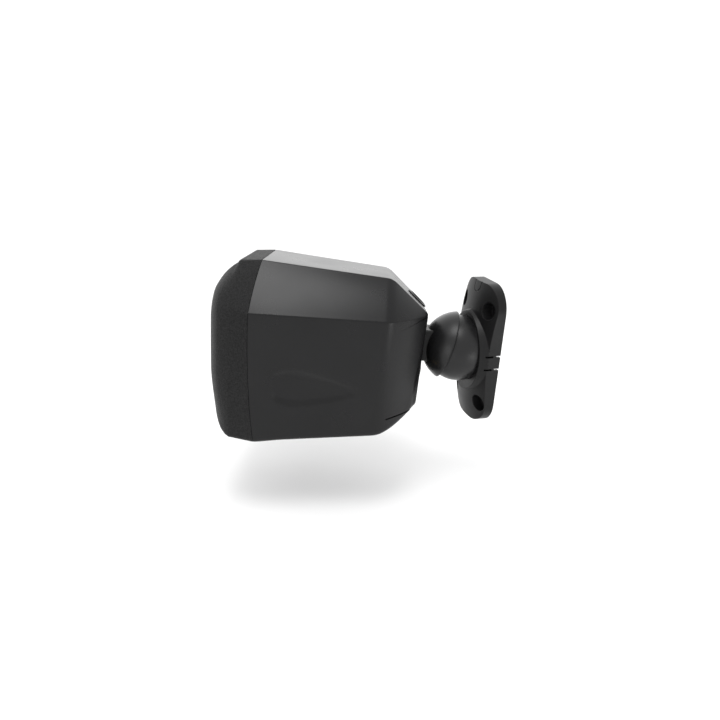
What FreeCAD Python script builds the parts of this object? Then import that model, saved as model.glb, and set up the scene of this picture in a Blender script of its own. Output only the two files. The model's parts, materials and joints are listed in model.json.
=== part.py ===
"""Compact two-way wall loudspeaker on a ball-joint bracket, in millimetres.

Origin: centre of the bracket's back face, on the wall. X runs to the right as seen from
the room, Y into the wall, Z up. The loudspeaker's own pieces are drawn about the centre
of the ball, facing -Y, and are then placed as the ball joint holds them at rest.
"""

import FreeCAD, Part
import os
import re
import Sketcher

from FreeCAD import Placement, Rotation, Vector

SIZES = {
    # Wall plate: a hollow domed moulding, open at the wall.
    "plate_half_height": 62.5,
    "plate_half_top": 33.9,
    "plate_half_bottom": 30.1,
    "plate_corner": 22,
    "plate_rim": 11.2,
    "plate_crown": 17.6,
    "plate_wall": 2.8,
    "dome_sink": 30,
    "hole_pitch_x": 46,
    "hole_pitch_z": 83.3,
    "hole_radius": 2.6,
    "counterbore_radius": 7.3,
    "counterbore_floor": 4,
    "hole_boss_radius": 9.3,
    "slit_height": 1.6,
    "slit_upper": 3.4,
    "slit_lower": -8.3,
    "slit_inner": 28,
    "slit_outer": 36,
    "slit_front": 13.5,
    "bridge_front": 6.5,
    "bridge_back": 4.5,
    "crown_half_x": 63.9,
    "crown_half_z": 124.7,
    "mark_radius": 6,
    "mark_line": 0.9,
    "mark_depth": 0.7,
    "mark_z": 59,
    "collar_top": 18,
    "collar_root": 11,
    "collar_radius": 37.1,
    "collar_spread": 3,
    "collar_offset": 7.1,
    # Ball joint, about the ball's centre.
    "ball_out": 24.8,
    "ball_up": 2.5,
    "ball_radius": 28.9,
    "ball_inner": 23.9,
    "ball_mouth": 18,
    "ball_neck": 27.9,
    "flange_radius": 29,
    "flange_front": 20.3,
    "flange_back": 22.8,
    "ear_half_width": 12,
    "ear_reach": 39.5,
    "ear_screw_x": 7,
    "ear_screw_z": 35.5,
    "ear_post": 3.6,
    "slide_gap": 0.3,
    "dome_radius": 32,
    "dome_rim": 10.6,
    "cup_wall": 3,
    "cup_rim": 11.8,
    "slot_half_width": 3.4,
    "slot_half_height": 10.3,
    "washer_back": 14,
    "bolt_radius": 3,
    "bolt_hole": 3.3,
    "bolt_head": 5.5,
    "bolt_head_back": 9,
    "bolt_tip": 45.5,
    "nut_radius": 5.6,
    "nut_back": 39.2,
    "nut_front": 43.2,
    # Cabinet: six-sided sections at the seam, at the crease and at the rear face.
    "seam_reach": 172,
    "crease_reach": 66.5,
    "rear_reach": 34,
    "wall": 3,
    "seam_top_x": 40.1, "seam_top_z": 64.3,
    "seam_ridge_x": 71, "seam_ridge_z": 27.4,
    "seam_foot_x": 55, "seam_foot_z": -84.4,
    "crease_top_x": 35.7, "crease_top_z": 59.4,
    "crease_ridge_x": 63.6, "crease_ridge_z": 29.8,
    "crease_foot_x": 47.2, "crease_foot_z": -71.9,
    "rear_top_x": 30, "rear_top_z": 33.2,
    "rear_ridge_x": 31.4, "rear_ridge_z": 31.4,
    "rear_foot_x": 30.8, "rear_foot_z": -51.5,
    "cover_front": 62.5,
    "cover_top_front": 23,
    "cover_top_rear": 30,
    "cover_foot_front": -55.2,
    "cover_foot_rear": -49.4,
    "cover_gap": 0.5,
    "scoop_length": 38.5,
    "scoop_height": 19.4,
    "scoop_depth": 4,
    "scoop_x": 61.8,
    "scoop_z": -28,
    "scoop_reach": 126,
    # Grille.
    "grille_gap": 0.6,
    "grille_skin": 1.2,
    "grille_shoulder": 186,
    "grille_brow": 199,
    "grille_reach": 206.5,
    "frame_depth": 6,
    "frame_width": 5,
    # Neck.
    "neck_half_width": 13.5,
    "neck_top": 15.5,
    "neck_foot": -12,
    # Baffle and woofer, measured forward of the baffle's front face.
    "baffle_thickness": 5,
    "baffle_inset": 4.2,
    "gasket_thickness": 1,
    "driver_z": -8,
    "basket_radius": 56,
    "basket_mouth": 47,
    "basket_foot": 33,
    "basket_depth": 30,
    "basket_sheet": 2,
    "flange_thickness": 2.5,
    "window_width": 24,
    "top_plate_radius": 30,
    "top_plate_back": -34,
    "magnet_radius": 33,
    "magnet_bore": 15,
    "magnet_back": -47,
    "back_plate_radius": 31,
    "back_plate_back": -51,
    "pole_radius": 9.3,
    "post_bore": 4,
    "coil_inner": 9.8,
    "coil_middle": 10.1,
    "coil_outer": 10.5,
    "gap_radius": 11,
    "coil_back": -40,
    "cone_back": -20,
    "cone_edge": 40,
    "cone_front": -3.5,
    "cone_sheet": 0.9,
    "spider_outer": 30.5,
    "spider_back": -25,
    "spider_sheet": 0.8,
    # Tweeter on a post through the pole.
    "post_tip": -9,
    "tweeter_radius": 15,
    "tweeter_back": -9,
    "tweeter_front": 0,
    "tweeter_wall": 1.4,
    "tweeter_magnet": 7,
    "tweeter_dome": 9,
    "tweeter_crown": 3.4,
    # Electronics.
    "board_reach": 103,
    "board_half": 34,
    "board_top": 2,
    "board_foot": -58,
    "board_thickness": 1.6,
    "core_half": 21,
    "core_front": 95,
    "core_back": 68,
    "core_top": -30,
    "core_foot": -62,
    "knob_radius": 8,
    "knob_z": -22,
    "knob_proud": 3,
    "terminal_half": 13,
    "terminal_top": -33,
    "terminal_foot": -45,
    "port_radius": 7.6,
    "port_wall": 1.2,
    "port_length": 34,
    "port_flare": 8.8,
    "port_seat": 0.24,
}

REST_PAN, REST_TILT, REST_ROLL = -15.5, -15.8, -4.8    # the socket dome's attitude, degrees
CABINET_PITCH = 11.8                                   # the cabinet's axis above the dome's
SCOOP_YAW, SCOOP_LEAN = 4.8, 8.7                       # how the side faces taper and lean

document = FreeCAD.newDocument("wall_loudspeaker")
sheet = document.addObject("Spreadsheet::Sheet", "sizes")
for row, (alias, size) in enumerate(SIZES.items(), start=1):
    sheet.set(f"A{row}", alias)
    sheet.set(f"B{row}", str(size))
    sheet.setAlias(f"B{row}", alias)
document.recompute()

PIECES = []


def bound(text):
    """Point every alias in an expression at the spreadsheet."""
    return re.sub(r"[a-z][a-z_]*", lambda word: "sizes." + word.group(0), str(text))


def value(text):
    """The number that an expression over the sheet's aliases gives now."""
    return float(sheet.evalExpression(bound(text)))


def bind(item, **properties):
    """Bind an object's properties to expressions over the sheet's aliases."""
    for name, text in properties.items():
        item.setExpression(name.replace("__", "."), bound(text))
    return item


X, Y, Z = Vector(1, 0, 0), Vector(0, 1, 0), Vector(0, 0, 1)
BALL_CENTRE = Vector(0, -value("ball_out"), value("ball_up"))
PAN_TURN = Rotation(Z, REST_PAN)
DOME_TURN = PAN_TURN * Rotation(X, REST_TILT) * Rotation(Y, REST_ROLL)
WALL = Placement()
BALL = Placement(BALL_CENTRE, Rotation())
PAN = Placement(BALL_CENTRE, PAN_TURN)
DOME = Placement(BALL_CENTRE, DOME_TURN)
CABINET = Placement(BALL_CENTRE, DOME_TURN * Rotation(X, CABINET_PITCH))
NECK_TURN = Placement(Vector(), Rotation(X, -CABINET_PITCH))
FORWARD = Rotation(X, 90)                              # turns a lathe axis (+Z) to face -Y
DRIVER = Placement(Vector(0, -value("seam_reach"), value("driver_z")), FORWARD)


# ---- Drawing helpers ----------------------------------------------------------------

def group(items):
    """Separate solids that share one node."""
    item = document.addObject("Part::Compound", "Group")
    item.Links = list(items)
    return item


def moved(item, place):
    """Move an item, wrapped first if its own place is bound to the sheet."""
    if any("Placement" in path for path, text in item.ExpressionEngine):
        item = group([item])
    item.Placement = place.multiply(item.Placement)
    return item


def piece(label, item, place):
    """Name a finished sub-part and put it where the assembly holds it."""
    item = moved(item, place)
    item.Label = label
    PIECES.append(item)
    return item


def origin_plane(body, role):
    return next(feature for feature in body.Origin.OriginFeatures if feature.Role == role)


def outline(body, role, points, offset="0", outward=1):
    """A closed polygon sketch whose corners are bound to the sheet."""
    sketch = body.newObject("Sketcher::SketchObject", "Outline")
    sketch.AttachmentSupport = (origin_plane(body, role), [""])
    sketch.MapMode = "FlatFace"
    sketch.AttachmentOffset = Placement(Vector(0, 0, outward * value(offset)), Rotation())
    sketch.setExpression("AttachmentOffset.Base.z", f"{outward} * ({bound(offset)})")
    corners = [Vector(value(across), value(up), 0) for across, up in points]
    count = len(corners)
    for index in range(count):
        sketch.addGeometry(Part.LineSegment(corners[index], corners[(index + 1) % count]))
    for index in range(count):
        sketch.addConstraint(Sketcher.Constraint("Coincident", index, 2, (index + 1) % count, 1))
    for index, (across, up) in enumerate(points):
        for kind, text in (("DistanceX", across), ("DistanceY", up)):
            rule = Sketcher.Constraint(kind, -1, 1, index, 1, value(text))
            number = sketch.addConstraint(rule)
            sketch.setExpression(f"Constraints[{number}]", bound(text))
    return sketch


def lathe(name, profile):
    """A body turned about Z from a profile of (radius, height) corners."""
    body = document.addObject("PartDesign::Body", name)
    sketch = outline(body, "XZ_Plane", profile)
    turned = body.newObject("PartDesign::Revolution", "Turned")
    turned.Profile = sketch
    turned.ReferenceAxis = (sketch, ["V_Axis"])
    turned.Angle = 360
    return body


def prism(name, role, points, start, length):
    """A body padded from an outline on an origin plane."""
    body = document.addObject("PartDesign::Body", name)
    sketch = outline(body, role, points, start)
    pad = body.newObject("PartDesign::Pad", "Pad")
    pad.Profile = sketch
    bind(pad, Length=length)
    return body


def box(low, high):
    item = document.addObject("Part::Box", "Block")
    for side, axis, start, stop in zip(("Length", "Width", "Height"), "xyz", low, high):
        bind(item, **{side: f"({stop}) - ({start})", f"Placement__Base__{axis}": start})
    return item


def cylinder(radius, low, high, across="0", up="0", along="Y"):
    """A rod from low to high along an axis; across and up are its centre's other two."""
    item = document.addObject("Part::Cylinder", "Rod")
    bind(item, Radius=radius, Height=f"({high}) - ({low})")
    turn = {"Z": Rotation(), "Y": Rotation(X, -90), "X": Rotation(Y, 90)}[along]
    item.Placement = Placement(Vector(), turn)
    first, second = {"Z": "xy", "Y": "xz", "X": "yz"}[along]
    places = {first: across, second: up, along.lower(): low}
    bind(item, **{f"Placement__Base__{axis}": text for axis, text in places.items()})
    return item


def sphere(radius):
    item = document.addObject("Part::Sphere", "Ball")
    return bind(item, Radius=radius)


def join(*items):
    item = document.addObject("Part::MultiFuse", "Joined")
    item.Shapes = list(items)
    return item


def cut(base, *tools):
    item = document.addObject("Part::Cut", "Trimmed")
    item.Base = base
    item.Tool = tools[0] if len(tools) == 1 else join(*tools)
    return item


def common(base, tool):
    item = document.addObject("Part::MultiCommon", "Shared")
    item.Shapes = [base, tool]
    return item


def screws(spots, shank, head, tip, seat, top, along="Y"):
    """Round-headed screws: shank from tip to seat and head from seat to top."""
    made = []
    for across, up in spots:
        low, high = (tip, seat) if value(tip) < value(seat) else (seat, tip)
        rod = cylinder(shank, low, high, across, up, along)
        low, high = (seat, top) if value(seat) < value(top) else (top, seat)
        made.append(join(rod, cylinder(head, low, high, across, up, along)))
    return group(made)


# ---- Wall plate ---------------------------------------------------------------------

def plate_block(inset, sink):
    """The plate's solid envelope, drawn smaller by inset and lower by sink."""
    body = document.addObject("PartDesign::Body", "PlateBlock")
    top, foot = f"plate_half_top - {inset}", f"plate_half_bottom - {inset}"
    rise = f"plate_half_height - {inset}"
    corners = [(f"-({foot})", f"-({rise})"), (foot, f"-({rise})"),
               (top, rise), (f"-({top})", rise)]
    sketch = outline(body, "XZ_Plane", corners)
    pad = body.newObject("PartDesign::Pad", "Pad")
    pad.Profile = sketch
    bind(pad, Length="plate_crown + 5")
    document.recompute()
    if body.Shape.BoundBox.YMax > 1:
        pad.Reversed = True
        document.recompute()
    uprights = [f"Edge{number}" for number, edge in enumerate(pad.Shape.Edges, start=1)
                if abs(edge.tangentAt(edge.FirstParameter).y) > 0.99]
    rounded = body.newObject("PartDesign::Fillet", "Corners")
    rounded.Base = (pad, uprights)
    bind(rounded, Radius=f"plate_corner - {inset}")
    dome = document.addObject("Part::Ellipsoid", "Crown")
    bind(dome, Radius1=f"plate_crown + dome_sink - {sink}", Radius2="crown_half_x",
         Radius3="crown_half_z")
    dome.Placement = Placement(Vector(0, value("dome_sink"), 0), Rotation(X, 90))
    dome.Radius1 = value(f"plate_crown + dome_sink - {sink}")
    return common(body, dome)


def hole_spots():
    return [(f"{side} * hole_pitch_x / 2", f"{end} * hole_pitch_z / 2")
            for side in (-1, 1) for end in (-1, 1)]


def ear_spots():
    return [(f"{side} * ear_screw_x", f"{end} * ear_screw_z")
            for side in (-1, 1) for end in (-1, 1)]


def make_collar():
    """A flared collar that comes to a point above and below the ball."""
    cones = []
    for side in (-1, 1):
        cone = document.addObject("Part::Cone", "CollarCone")
        bind(cone, Radius1="collar_radius + collar_spread", Radius2="collar_radius",
             Height="collar_top - collar_root")
        seat = Vector(side * value("collar_offset"), -value("collar_root"), 0)
        cone.Placement = Placement(seat, FORWARD)
        cones.append(cone)
    return common(*cones)


def make_mark():
    """A shallow U-shaped groove at the plate's top edge."""
    inner = "mark_radius - mark_line"
    loop = cut(cylinder("mark_radius", "-plate_crown", "-plate_rim + 1", "0", "mark_z"),
               cylinder(inner, "-plate_crown - 1", "0", "0", "mark_z"),
               box(("-mark_radius - 1", "-plate_crown - 1", "mark_z"),
                   ("mark_radius + 1", "0", "mark_z + mark_radius + 1")))
    legs = [box(("mark_radius - mark_line", "-plate_crown", "mark_z"),
                ("mark_radius", "-plate_rim + 1", "plate_half_height + 1")),
            box(("-mark_radius", "-plate_crown", "mark_z"),
                ("mark_line - mark_radius", "-plate_rim + 1", "plate_half_height + 1"))]
    return cut(join(loop, *legs), plate_block("0", "mark_depth"))


def make_wall_plate():
    solid = plate_block("0", "0")
    hollow = plate_block("plate_wall", "plate_wall")
    skin = cut(solid, hollow)
    posts = [cylinder("hole_boss_radius", "-plate_crown - 5", "0", across, up)
             for across, up in hole_spots()]
    posts.append(cylinder("flange_radius", "-plate_crown - 5", "flange_front - ball_out", "0",
                          "ball_up"))
    posts += [cylinder("ear_post", "-plate_crown - 5", "flange_front - ball_out", across,
                       f"ball_up + {up}") for across, up in ear_spots()]
    body = join(skin, common(solid, join(*posts)), cut(make_collar(), hollow))
    tools = [cylinder("ball_neck + slide_gap", "-plate_crown - 5", "0", "0", "ball_up")]
    for across, up in hole_spots():
        tools.append(cylinder("hole_radius", "-plate_crown - 5", "1", across, up))
        tools.append(cylinder("counterbore_radius", "-plate_crown - 5", "-counterbore_floor",
                              across, up))
    for side in (-1, 1):
        for level in ("slit_upper", "slit_lower"):
            for start, stop in (("-slit_front", "-bridge_front"), ("-bridge_back", "1")):
                across = (("slit_inner", "slit_outer") if side > 0
                          else ("-slit_outer", "-slit_inner"))
                tools.append(box((across[0], start, level),
                                 (across[1], stop, f"{level} + slit_height")))
    tools.append(make_mark())
    piece("wall_plate", cut(body, *tools), WALL)


def make_ball_boss():
    shell = cut(sphere("ball_radius"), sphere("ball_inner"),
                box(("-40", "6", "-40"), ("40", "40", "40")),
                cylinder("ball_mouth", "-40", "0"))
    skirt = cylinder("ball_neck", "6", "flange_back")
    flange = cylinder("flange_radius", "flange_front", "flange_back")
    ears = box(("-ear_half_width", "flange_front", "-ear_reach"),
               ("ear_half_width", "flange_back", "ear_reach"))
    back = cut(join(skirt, flange, ears), cylinder("ball_inner - 0.7", "0", "40"))
    piece("ball_boss", join(shell, back), BALL)
    piece("boss_screws", screws(ear_spots(), "1.2", "2.4", "flange_front - 7", "flange_back",
                                "flange_back + 1.6"), BALL)


# ---- Ball joint ---------------------------------------------------------------------

def make_ball_joint():
    cup_outer = "ball_inner - slide_gap"
    cup_inner = "ball_inner - slide_gap - cup_wall"
    cup = cut(sphere(cup_outer), sphere(cup_inner),
              box(("-40", "-cup_rim", "-40"), ("40", "40", "40")),
              box(("-slot_half_width", "-40", "-slot_half_height"),
                  ("slot_half_width", "0", "slot_half_height")))
    piece("pressure_cup", cup, PAN)
    washer = cut(sphere(f"{cup_inner} - slide_gap"),
                 box(("-40", "-washer_back", "-40"), ("40", "40", "40")),
                 cylinder("bolt_radius + 0.05", "-40", "0"))
    piece("swivel_washer", washer, DOME)
    hexagon = document.addObject("Part::Prism", "Hexagon")
    hexagon.Polygon = 6
    bind(hexagon, Circumradius="bolt_head", Height="washer_back - bolt_head_back")
    hexagon.Placement = Placement(Vector(0, -value("bolt_head_back"), 0), FORWARD)
    bind(hexagon, Placement__Base__y="-bolt_head_back")
    piece("clamp_bolt", join(hexagon, cylinder("bolt_radius", "-bolt_tip", "-washer_back + 1")),
          DOME)
    nut = document.addObject("Part::Prism", "Hexagon")
    nut.Polygon = 6
    bind(nut, Circumradius="nut_radius", Height="nut_front - nut_back")
    nut.Placement = Placement(Vector(0, -value("nut_back"), 0), FORWARD)
    bind(nut, Placement__Base__y="-nut_back")
    piece("clamp_nut", cut(nut, cylinder("bolt_radius", "-60", "0")), DOME)
    dome = cut(sphere("dome_radius"), sphere("ball_radius + slide_gap"),
               box(("-40", "-dome_rim", "-40"), ("40", "40", "40")),
               cylinder("bolt_hole", "-60", "0"))
    piece("socket_dome", dome, DOME)


def make_neck():
    block = box(("-neck_half_width", "-rear_reach", "neck_foot"),
                ("neck_half_width", "-20", "neck_top"))
    bolt_way = moved(cylinder("bolt_hole", "-60", "0"), NECK_TURN)
    hugging = cut(block, sphere("dome_radius"), bolt_way)
    piece("neck_block", hugging, CABINET)
    spots = [(f"{side} * 9.5", f"{up}") for side in (-1, 1) for up in (-8.5, 11.5)]
    piece("neck_screws", screws(spots, "1.6", "3", "-rear_reach + 4", "-rear_reach - wall",
                                "-rear_reach - wall - 2.4"), CABINET)


# ---- Cabinet ------------------------------------------------------------------------

def six_corners(top_x, top_z, ridge_x, ridge_z, foot_x, foot_z):
    right = [(foot_x, foot_z), (ridge_x, ridge_z), (top_x, top_z)]
    left = [(f"-({across})", up) for across, up in reversed(right)]
    return right + left


def section(station, inset="0"):
    """A six-sided section at a station, drawn smaller by inset."""
    return six_corners(
        f"{station}_top_x - 0.5 * ({inset})", f"{station}_top_z - ({inset})",
        f"{station}_ridge_x - 1.08 * ({inset})", f"{station}_ridge_z",
        f"{station}_foot_x - 1.1 * ({inset})", f"{station}_foot_z + ({inset})")


def lofted(name, stations):
    """A straight-sided loft through sections (corners, reach in front of the ball)."""
    body = document.addObject("PartDesign::Body", name)
    sketches = [outline(body, "XZ_Plane", corners, reach) for corners, reach in stations]
    loft = body.newObject("PartDesign::AdditiveLoft", "Loft")
    loft.Profile = sketches[0]
    loft.Sections = sketches[1:]
    loft.Ruled = True
    return body


def cover_zone(name, gap):
    """The space that the rear cover fills, grown by gap on its three seams."""
    corners = [(f"-cover_front - {gap}", f"cover_top_front + {gap}"),
               ("-20", f"cover_top_rear + 0.27 * (rear_reach - 20) + {gap}"),
               ("-20", f"cover_foot_rear - {gap} + 0.2 * (rear_reach - 20)"),
               (f"-cover_front - {gap}", f"cover_foot_front - {gap}")]
    return prism(name, "YZ_Plane", corners, "-90", "180")


def scoop(side):
    """A ball squashed flat against a side face, which leaves a shallow oval hollow."""
    bowl = document.addObject("Part::Ellipsoid", "Scoop")
    bind(bowl, Radius1="scoop_depth", Radius2="scoop_height", Radius3="scoop_length")
    turn = Rotation(Z, side * SCOOP_YAW) * Rotation(Y, side * (90 + SCOOP_LEAN))
    middle = Vector(side * value("scoop_x"), -value("scoop_reach"), value("scoop_z"))
    bowl.Placement = Placement(middle, turn)
    return bowl


def make_cabinet():
    outer = lofted("CabinetOutside", [(section("seam"), "seam_reach"),
                                      (section("crease"), "crease_reach"),
                                      (section("rear"), "rear_reach")])
    inner = lofted("CabinetInside", [(section("seam", "wall"), "seam_reach"),
                                     (section("crease", "wall"), "crease_reach"),
                                     (section("rear", "wall - 0.4"), "rear_reach + wall")])
    skin = cut(outer, inner, scoop(-1), scoop(1))
    nose = port_axis_tool("port_flare", "-12", "8")
    piece("enclosure_shell", cut(skin, cover_zone("CoverSpace", "cover_gap"), nose), CABINET)
    cover = cut(common(outer, cover_zone("CoverZone", "0")), inner)
    knob_way = cylinder("3.3", "-rear_reach - 6", "-rear_reach + 6", "0", "knob_z")
    window = box(("-terminal_half", "-rear_reach - 6", "terminal_foot"),
                 ("terminal_half", "-rear_reach + 6", "terminal_top"))
    insert = cylinder("4", "-rear_reach - 6", "-rear_reach + 6", "22", "knob_z")
    bolt_way = moved(cylinder("bolt_hole", "-60", "0"), NECK_TURN)
    piece("rear_cover", cut(cover, knob_way, window, insert, bolt_way), CABINET)


def port_place():
    """The port's seat: low on the sloping rear top facet, square to it."""
    run = value("crease_reach - rear_reach")
    drop = value("crease_top_z - rear_top_z")
    up = value("port_seat")
    middle = Vector(0, -value("rear_reach") - run * up, value("rear_top_z") + drop * up)
    outward = Rotation(Vector(0, 0, 1), Vector(0, drop, run))
    return Placement(middle, outward)


def port_axis_tool(radius, low, high):
    return moved(cylinder(radius, low, high, along="Z"), port_place())


def make_port():
    flare = lathe("PortFlare", [("port_radius", "-4"), ("port_flare", "-4"),
                                ("port_flare", "0"), ("port_flare + 1.4", "0"),
                                ("port_flare + 1.4", "1"), ("port_flare", "1.6"),
                                ("port_radius + 0.6", "1"), ("port_radius", "-1")])
    piece("port_flare", moved(flare, port_place()), CABINET)
    tube = lathe("PortTube", [("port_radius", "-port_length"), ("port_flare", "-port_length"),
                              ("port_flare", "-4"), ("port_radius", "-4")])
    piece("port_tube", moved(tube, port_place()), CABINET)


# ---- Front: baffle and grille -------------------------------------------------------

def make_front():
    inset = "wall + 0.3"
    plate = lofted("BafflePlate", [(section("seam", inset), "seam_reach"),
                                   (section("seam", f"{inset} + 0.4"),
                                    "seam_reach - baffle_thickness")])
    hole = cylinder("basket_mouth + 1.5", "-seam_reach - 5", "-seam_reach + 9", "0", "driver_z")
    piece("front_baffle", cut(plate, hole), CABINET)
    inset = "grille_skin + 1.4"
    stations = ["seam_reach + grille_gap", "seam_reach + grille_gap + frame_depth"]
    rim = lofted("GrilleRing", [(section("seam", inset), reach) for reach in stations])
    way = lofted("GrilleRingWay", [(section("seam", f"{inset} + frame_width"), reach)
                                   for reach in ("seam_reach", "seam_reach + 12")])
    piece("grille_frame", cut(rim, way), CABINET)
    outside = [(section("seam"), "seam_reach + grille_gap"),
               (section("seam", "1.6"), "grille_shoulder"),
               (section("seam", "8"), "grille_brow"),
               (section("seam", "19"), "grille_reach")]
    inside = [(section("seam", "grille_skin"), "seam_reach"),
              (section("seam", "grille_skin + 1.6"), "grille_shoulder - 0.4"),
              (section("seam", "grille_skin + 8"), "grille_brow - 0.9"),
              (section("seam", "grille_skin + 19"), "grille_reach - grille_skin")]
    piece("grille_mesh", cut(lofted("GrilleOutside", outside), lofted("GrilleInside", inside)),
          CABINET)


# ---- Woofer -------------------------------------------------------------------------

def turned(label, profile, place=None):
    """A lathe piece on the driver's axis, its heights measured forward of the baffle."""
    return piece(label, moved(lathe(label.title().replace("_", ""), profile), DRIVER), CABINET)


def ring(inner, outer, low, high):
    return [(inner, low), (outer, low), (outer, high), (inner, high)]


def make_woofer():
    frame = lathe("Basket", [
        ("basket_mouth - 3", "0"), ("basket_mouth - 0.2", "0"), ("basket_mouth - 0.2", "-5"),
        ("basket_foot", "-basket_depth"), ("magnet_bore", "-basket_depth"),
        ("magnet_bore", "-basket_depth + basket_sheet"),
        ("basket_foot - 5", "-basket_depth + basket_sheet"),
        ("basket_foot - 5", "spider_back"), ("basket_foot - 0.4", "spider_back"),
        ("basket_mouth - 3", "-5")])
    rim = lathe("BasketFlange", ring("basket_mouth - 3", "basket_radius", "0",
                                     "flange_thickness"))
    half = "window_width / 2"
    across = box(("-70", f"-{half}", "-22"), ("70", half, "-8"))
    along = box((f"-{half}", "-70", "-22"), (half, "70", "-8"))
    basket = cut(join(frame, rim), across, along)
    piece("woofer_basket", moved(basket, DRIVER), CABINET)
    turned("woofer_top_plate", ring("gap_radius", "top_plate_radius", "top_plate_back",
                                    "-basket_depth"))
    turned("woofer_magnet", ring("magnet_bore", "magnet_radius", "magnet_back",
                                 "top_plate_back"))
    turned("woofer_pole_piece", [
        ("post_bore", "back_plate_back"), ("back_plate_radius", "back_plate_back"),
        ("back_plate_radius", "magnet_back"), ("pole_radius", "magnet_back"),
        ("pole_radius", "-basket_depth"), ("post_bore", "-basket_depth")])
    turned("voice_coil_former", ring("coil_inner", "coil_middle", "coil_back", "cone_back + 1"))
    turned("voice_coil_winding", ring("coil_middle", "coil_outer", "-36", "-29"))
    turned("woofer_cone", [
        ("coil_middle", "cone_back"), ("cone_edge", "cone_front"),
        ("cone_edge", "cone_front + cone_sheet"), ("coil_middle", "cone_back + cone_sheet")])
    roll = "cone_front + cone_sheet"
    turned("woofer_surround", [
        ("cone_edge", roll), ("cone_edge + 0.8", f"{roll} + 2.4"), ("cone_edge + 2", f"{roll} + 5"),
        ("cone_edge + 3.5", f"{roll} + 6.5"), ("cone_edge + 5.2", f"{roll} + 6.9"),
        ("cone_edge + 6.6", f"{roll} + 6.4"), ("basket_mouth + 0.4", "flange_thickness + 0.8"),
        ("basket_mouth + 1.8", "flange_thickness + 0.8"), ("basket_mouth + 1.8", "flange_thickness"),
        ("basket_mouth - 0.1", "flange_thickness"), ("cone_edge + 6.3", f"{roll} + 5.6"),
        ("cone_edge + 5.1", f"{roll} + 6"), ("cone_edge + 3.9", f"{roll} + 5.7"),
        ("cone_edge + 2.8", f"{roll} + 4.5"), ("cone_edge + 1.7", f"{roll} + 2.1"),
        ("cone_edge + 0.9", roll)])
    turned("woofer_spider", ring("coil_middle", "spider_outer", "spider_back",
                                 "spider_back + spider_sheet"))
    turned("woofer_gasket", ring("basket_mouth + 2", "basket_radius", "flange_thickness",
                                 "flange_thickness + gasket_thickness"))
    spots = [(f"{side} * 36.4", f"{end} * 36.4") for side in (-1, 1) for end in (-1, 1)]
    driven = screws(spots, "1.5", "2.9", "-8", "flange_thickness + gasket_thickness",
                    "flange_thickness + gasket_thickness + 2", along="Z")
    piece("woofer_screws", moved(driven, DRIVER), CABINET)


def make_tweeter():
    turned("tweeter_post", [("0", "back_plate_back - 2"), ("post_bore + 3", "back_plate_back - 2"),
                            ("post_bore + 3", "back_plate_back"), ("post_bore", "back_plate_back"),
                            ("post_bore", "post_tip"), ("0", "post_tip")])
    turned("tweeter_housing", [
        ("0", "tweeter_back"), ("tweeter_radius - 4", "tweeter_back"),
        ("tweeter_radius", "tweeter_back + 4"), ("tweeter_radius", "tweeter_front"),
        ("tweeter_radius - tweeter_wall", "tweeter_front"),
        ("tweeter_radius - tweeter_wall", "tweeter_back + 4.4"),
        ("tweeter_radius - 4.4", "tweeter_back + tweeter_wall"),
        ("0", "tweeter_back + tweeter_wall")])
    turned("tweeter_magnet", [("0", "tweeter_back + tweeter_wall"),
                              ("tweeter_magnet", "tweeter_back + tweeter_wall"),
                              ("tweeter_magnet", "-2.2"), ("0", "-2.2")])
    turned("tweeter_faceplate", [
        ("tweeter_dome + 0.6", "-1.4"), ("tweeter_radius - tweeter_wall", "-1.4"),
        ("tweeter_radius - tweeter_wall", "0"), ("tweeter_radius", "0"),
        ("tweeter_radius", "1.2"), ("tweeter_dome + 2.6", "1.2"), ("tweeter_dome + 0.6", "0")])
    turned("tweeter_dome", [
        ("tweeter_dome", "0"), ("tweeter_dome", "0.4"), ("tweeter_dome * 0.75", "1.9"),
        ("tweeter_dome * 0.4", "3.0"), ("0", "tweeter_crown"), ("0", "tweeter_crown - 0.4"),
        ("tweeter_dome * 0.4", "2.6"), ("tweeter_dome * 0.72", "1.6"),
        ("tweeter_dome - 0.5", "0")])


# ---- Electronics and terminals ------------------------------------------------------

def make_electronics():
    back = "-board_reach + board_thickness"
    piece("crossover_board", box(("-board_half", "-board_reach", "board_foot"),
                                 ("board_half", back, "board_top")), CABINET)
    coil = cut(cylinder("9", back, f"{back} + 12", "-20", "-14"),
               cylinder("4", back, f"{back} + 12", "-20", "-14"))
    piece("crossover_coil", coil, CABINET)
    caps = [cylinder("4.5", f"{back}", f"{back} + 16", across, "-14") for across in ("0", "12")]
    piece("crossover_capacitors", group(caps), CABINET)
    piece("crossover_resistor", box(("22", back, "-24"), ("30", f"{back} + 7", "-4")), CABINET)
    core = cut(box(("-core_half", "-core_front", "core_foot"),
                   ("core_half", "-core_back", "core_top")),
               box(("-14", "-core_front - 1", "core_foot + 6"),
                   ("-7", "-core_back + 1", "core_top - 6")),
               box(("7", "-core_front - 1", "core_foot + 6"),
                   ("14", "-core_back + 1", "core_top - 6")))
    piece("transformer_core", core, CABINET)
    winding = cut(box(("-13.6", "-core_front - 4", "core_foot + 6.4"),
                      ("13.6", "-core_back + 4", "core_top - 6.4")),
                  box(("-7", "-core_front", "core_foot"), ("7", "-core_back", "core_top")))
    piece("transformer_winding", winding, CABINET)
    piece("transformer_bracket", box(("-30", "-core_front", "core_foot - 1.5"),
                                     ("30", "-core_back", "core_foot")), CABINET)


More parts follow.
